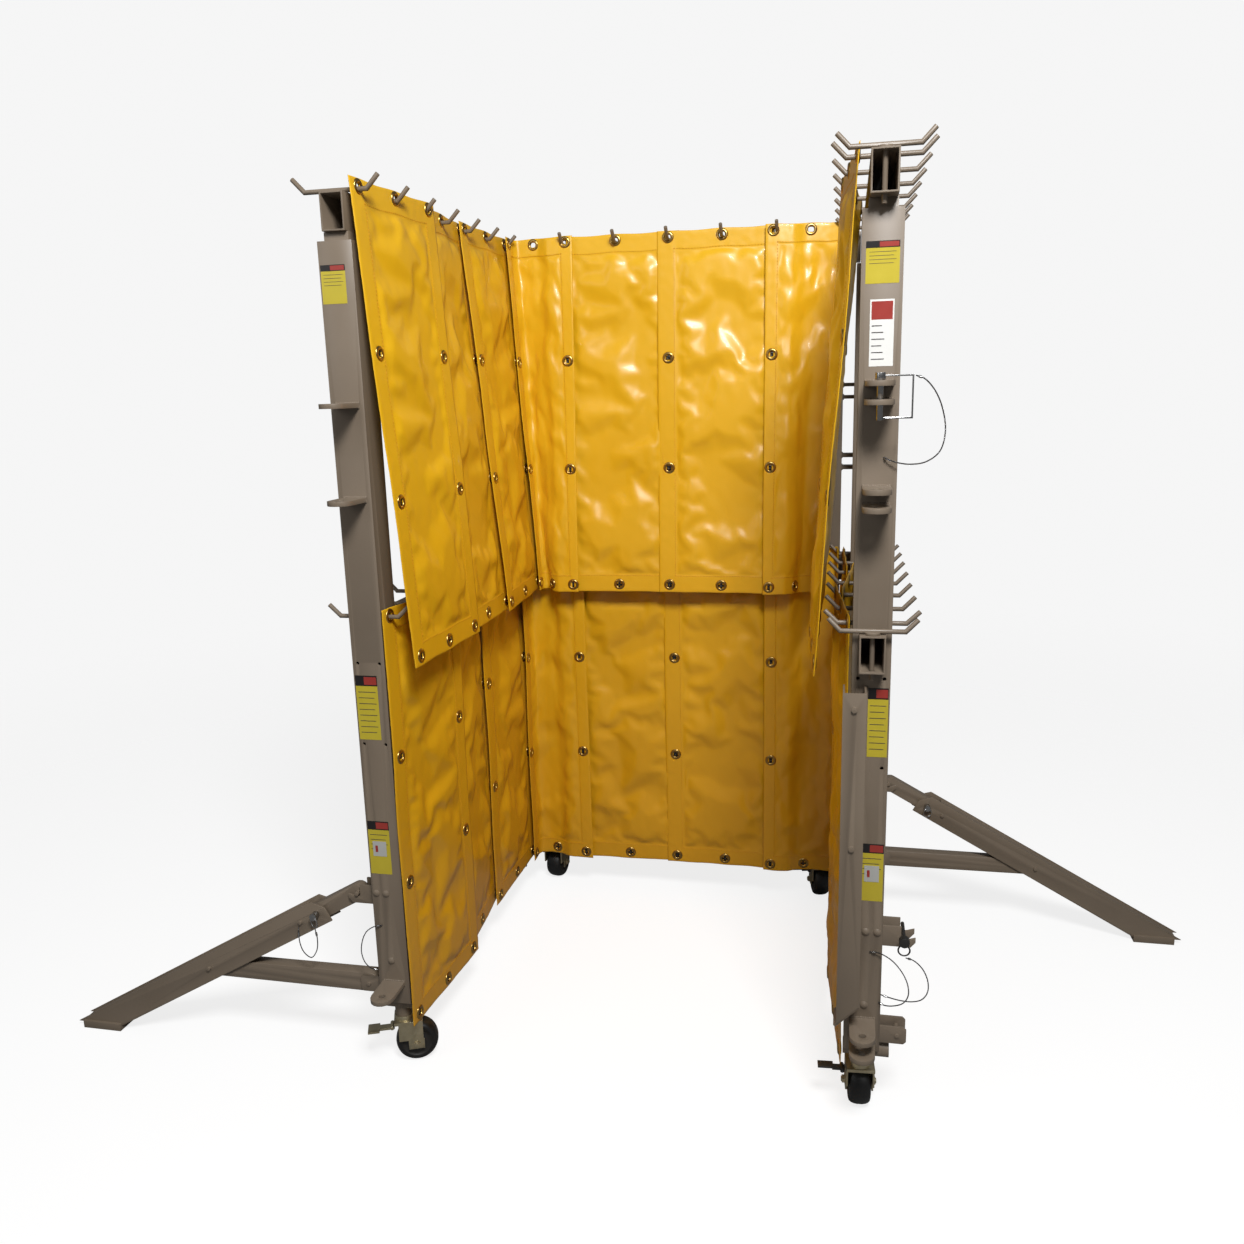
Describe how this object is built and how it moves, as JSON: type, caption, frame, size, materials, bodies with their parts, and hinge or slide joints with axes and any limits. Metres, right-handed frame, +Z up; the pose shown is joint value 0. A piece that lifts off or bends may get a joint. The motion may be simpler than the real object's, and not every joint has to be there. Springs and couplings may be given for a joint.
{
  "type": "welding curtain screen",
  "caption": "Mobile three-sided screen: square-tube frame with hooks, hinged wings, padded vinyl blankets, casters and folding outriggers.",
  "frame": {"origin": "middle of the floor footprint, on the floor", "axes": "+Z up; +X to the right and -Y towards the open side of the bay"},
  "size_m": [2.9096, 1.2234, 2.0346],
  "materials": {
    "frame_paint": "grey-taupe enamel, satin",
    "vinyl": "yellow coated fabric, glossy, padded",
    "tread": "black, satin",
    "zinc": "yellow-passivated zinc plate",
    "steel": "plain bright steel",
    "cable": "twisted wire rope",
    "dark_lever": "black, satin"
  },
  "bodies": {
    "back_frame": {"back_top_rail": "frame_paint", "back_middle_rail": "frame_paint", "back_left_post": "frame_paint", "back_right_post": "frame_paint", "back_upper_blankets": "vinyl", "back_lower_blankets": "vinyl", "left_upper_corner_blanket": "vinyl", "right_upper_corner_blanket": "vinyl", "left_lower_corner_blanket": "vinyl", "right_lower_corner_blanket": "vinyl"},
    "left_wing": {"left_top_rail": "frame_paint", "left_middle_rail": "frame_paint", "left_front_post": "frame_paint", "left_rear_post": "frame_paint", "left_upper_blanket_1": "vinyl", "left_upper_blanket_2": "vinyl", "left_upper_blanket_3": "vinyl", "left_lower_blanket_1": "vinyl", "left_lower_blanket_2": "vinyl", "left_lower_blanket_3": "vinyl", "left_foot_lanyard": "cable"},
    "right_wing": {"right_top_rail": "frame_paint", "right_middle_rail": "frame_paint", "right_front_post": "frame_paint", "right_rear_post": "frame_paint", "right_upper_blanket_1": "vinyl", "right_upper_blanket_2": "vinyl", "right_upper_blanket_3": "vinyl", "right_lower_blanket_1": "vinyl", "right_lower_blanket_2": "vinyl", "right_lower_blanket_3": "vinyl", "bail_lanyard": "cable", "bracket_lanyard": "cable", "right_foot_lanyard": "cable"},
    "left_hinge_rod": {"left_hinge_rod": "steel"},
    "right_hinge_rod": {"right_hinge_rod": "steel"},
    "top_pin_hook": {"top_pin_hook": "frame_paint"},
    "middle_pin_hook": {"middle_pin_hook": "frame_paint"},
    "bail_pin": {"bail_pin": "steel"},
    "bracket_pin": {"bracket_pin": "dark_lever"},
    "stowed_leg": {"stowed_leg": "frame_paint"},
    "front_left_caster_fork": {"front_left_caster_fork": "zinc"},
    "front_left_caster_wheel": {"front_left_caster_wheel": "tread"},
    "front_left_caster_brake": {"front_left_caster_brake": "dark_lever"},
    "front_right_caster_fork": {"front_right_caster_fork": "zinc"},
    "front_right_caster_wheel": {"front_right_caster_wheel": "tread"},
    "front_right_caster_brake": {"front_right_caster_brake": "dark_lever"},
    "back_left_caster_fork": {"back_left_caster_fork": "zinc"},
    "back_left_caster_wheel": {"back_left_caster_wheel": "tread"},
    "back_left_caster_brake": {"back_left_caster_brake": "dark_lever"},
    "back_right_caster_fork": {"back_right_caster_fork": "zinc"},
    "back_right_caster_wheel": {"back_right_caster_wheel": "tread"},
    "back_right_caster_brake": {"back_right_caster_brake": "dark_lever"},
    "left_outrigger_strut": {"left_outrigger_strut": "frame_paint"},
    "left_outrigger_leg": {"left_outrigger_leg": "frame_paint", "left_lock_lanyard": "cable"},
    "left_outrigger_lock_pin": {"left_outrigger_lock_pin": "steel"},
    "right_outrigger_strut": {"right_outrigger_strut": "frame_paint"},
    "right_outrigger_leg": {"right_outrigger_leg": "frame_paint"},
    "right_outrigger_lock_pin": {"right_outrigger_lock_pin": "steel"}
  },
  "joints": [
    {"name": "left_wing_hinge", "type": "hinge", "parent": "back_frame", "child": "left_wing", "pos_m": [-0.544, 0.5134, 1.575], "axis": [0, 0, 1], "range_deg": [-90, 4], "deforming": ["left_upper_corner_blanket", "left_lower_corner_blanket"]},
    {"name": "right_wing_hinge", "type": "hinge", "parent": "back_frame", "child": "right_wing", "pos_m": [0.544, 0.5134, 1.575], "axis": [0, 0, 1], "range_deg": [-4, 90], "deforming": ["right_upper_corner_blanket", "right_lower_corner_blanket"]},
    {"name": "left_hinge_rod_lift", "type": "slide", "parent": "back_frame", "child": "left_hinge_rod", "axis": [0, 0, 1], "range_m": [0, 0.25]},
    {"name": "right_hinge_rod_lift", "type": "slide", "parent": "back_frame", "child": "right_hinge_rod", "axis": [0, 0, 1], "range_m": [0, 0.25]},
    {"name": "top_pin_hook_lift", "type": "slide", "parent": "right_wing", "child": "top_pin_hook", "axis": [0, 0, 1], "range_m": [0, 0.13]},
    {"name": "middle_pin_hook_lift", "type": "slide", "parent": "right_wing", "child": "middle_pin_hook", "axis": [0, 0, 1], "range_m": [0, 0.13]},
    {"name": "bail_pin_lift", "type": "slide", "parent": "right_wing", "child": "bail_pin", "axis": [0, 0, 1], "range_m": [0, 0.02]},
    {"name": "bracket_pin_pull", "type": "slide", "parent": "right_wing", "child": "bracket_pin", "axis": [0, -1, 0], "range_m": [0, 0.09]},
    {"name": "stowed_leg_pull", "type": "slide", "parent": "right_wing", "child": "stowed_leg", "axis": [0, -1, 0], "range_m": [0, 0.12]},
    {"name": "front_left_caster_swivel", "type": "hinge", "parent": "left_wing", "child": "front_left_caster_fork", "pos_m": [-0.544, -0.4786, 0.122], "axis": [0, 0, 1], "continuous": true},
    {"name": "front_left_caster_roll", "type": "hinge", "parent": "front_left_caster_fork", "child": "front_left_caster_wheel", "pos_m": [-0.518, -0.4681, 0.051], "axis": [0.3746, -0.9272, 0], "continuous": true},
    {"name": "front_left_caster_brake_press", "type": "hinge", "parent": "front_left_caster_fork", "child": "front_left_caster_brake", "pos_m": [-0.5718, -0.4898, 0.09], "axis": [0.3746, -0.9272, 0], "range_deg": [0, 8]},
    {"name": "front_right_caster_swivel", "type": "hinge", "parent": "right_wing", "child": "front_right_caster_fork", "pos_m": [0.544, -0.4786, 0.122], "axis": [0, 0, 1], "continuous": true},
    {"name": "front_right_caster_roll", "type": "hinge", "parent": "front_right_caster_fork", "child": "front_right_caster_wheel", "pos_m": [0.542, -0.4506, 0.051], "axis": [0.9976, 0.0698, 0], "continuous": true},
    {"name": "front_right_caster_brake_press", "type": "hinge", "parent": "front_right_caster_fork", "child": "front_right_caster_brake", "pos_m": [0.5053, -0.4813, 0.093], "axis": [-0.0698, 0.9976, 0], "range_deg": [-8, 0]},
    {"name": "back_left_caster_swivel", "type": "hinge", "parent": "back_frame", "child": "back_left_caster_fork", "pos_m": [-0.4379, 0.5134, 0.122], "axis": [0, 0, 1], "continuous": true},
    {"name": "back_left_caster_roll", "type": "hinge", "parent": "back_left_caster_fork", "child": "back_left_caster_wheel", "pos_m": [-0.434, 0.5412, 0.051], "axis": [0.9903, -0.1392, 0], "continuous": true},
    {"name": "back_left_caster_brake_press", "type": "hinge", "parent": "back_left_caster_fork", "child": "back_left_caster_brake", "pos_m": [-0.4763, 0.5188, 0.093], "axis": [0.1392, 0.9903, 0], "range_deg": [-8, 0]},
    {"name": "back_right_caster_swivel", "type": "hinge", "parent": "back_frame", "child": "back_right_caster_fork", "pos_m": [0.4379, 0.5134, 0.122], "axis": [0, 0, 1], "continuous": true},
    {"name": "back_right_caster_roll", "type": "hinge", "parent": "back_right_caster_fork", "child": "back_right_caster_wheel", "pos_m": [0.4321, 0.5408, 0.051], "axis": [0.9781, 0.2079, 0], "continuous": true},
    {"name": "back_right_caster_brake_press", "type": "hinge", "parent": "back_right_caster_fork", "child": "back_right_caster_brake", "pos_m": [0.3999, 0.5054, 0.093], "axis": [-0.2079, 0.9781, 0], "range_deg": [-8, 0]},
    {"name": "left_outrigger_strut_fold", "type": "hinge", "parent": "left_wing", "child": "left_outrigger_strut", "pos_m": [-0.619, -0.4786, 0.205], "axis": [0, 1, 0], "range_deg": [0, 75]},
    {"name": "left_outrigger_leg_fold", "type": "hinge", "parent": "left_outrigger_strut", "child": "left_outrigger_leg", "pos_m": [-1.0498, -0.4786, 0.2049], "axis": [0, 1, 0], "range_deg": [-136, 0]},
    {"name": "left_outrigger_lock_pull", "type": "slide", "parent": "left_outrigger_leg", "child": "left_outrigger_lock_pin", "axis": [0, -1, 0], "range_m": [0, 0.09]},
    {"name": "right_outrigger_strut_fold", "type": "hinge", "parent": "right_wing", "child": "right_outrigger_strut", "pos_m": [0.619, 0.4073, 0.205], "axis": [0, -1, 0], "range_deg": [0, 75]},
    {"name": "right_outrigger_leg_fold", "type": "hinge", "parent": "right_outrigger_strut", "child": "right_outrigger_leg", "pos_m": [1.0498, 0.4073, 0.2049], "axis": [0, -1, 0], "range_deg": [-136, 0]},
    {"name": "right_outrigger_lock_pull", "type": "slide", "parent": "right_outrigger_leg", "child": "right_outrigger_lock_pin", "axis": [0, -1, 0], "range_m": [0, 0.09]}
  ],
  "couplings": [
    {"joint": "left_outrigger_leg_fold", "follows": "left_outrigger_strut_fold", "ratio": -1.808},
    {"joint": "right_outrigger_leg_fold", "follows": "right_outrigger_strut_fold", "ratio": -1.808}
  ]
}
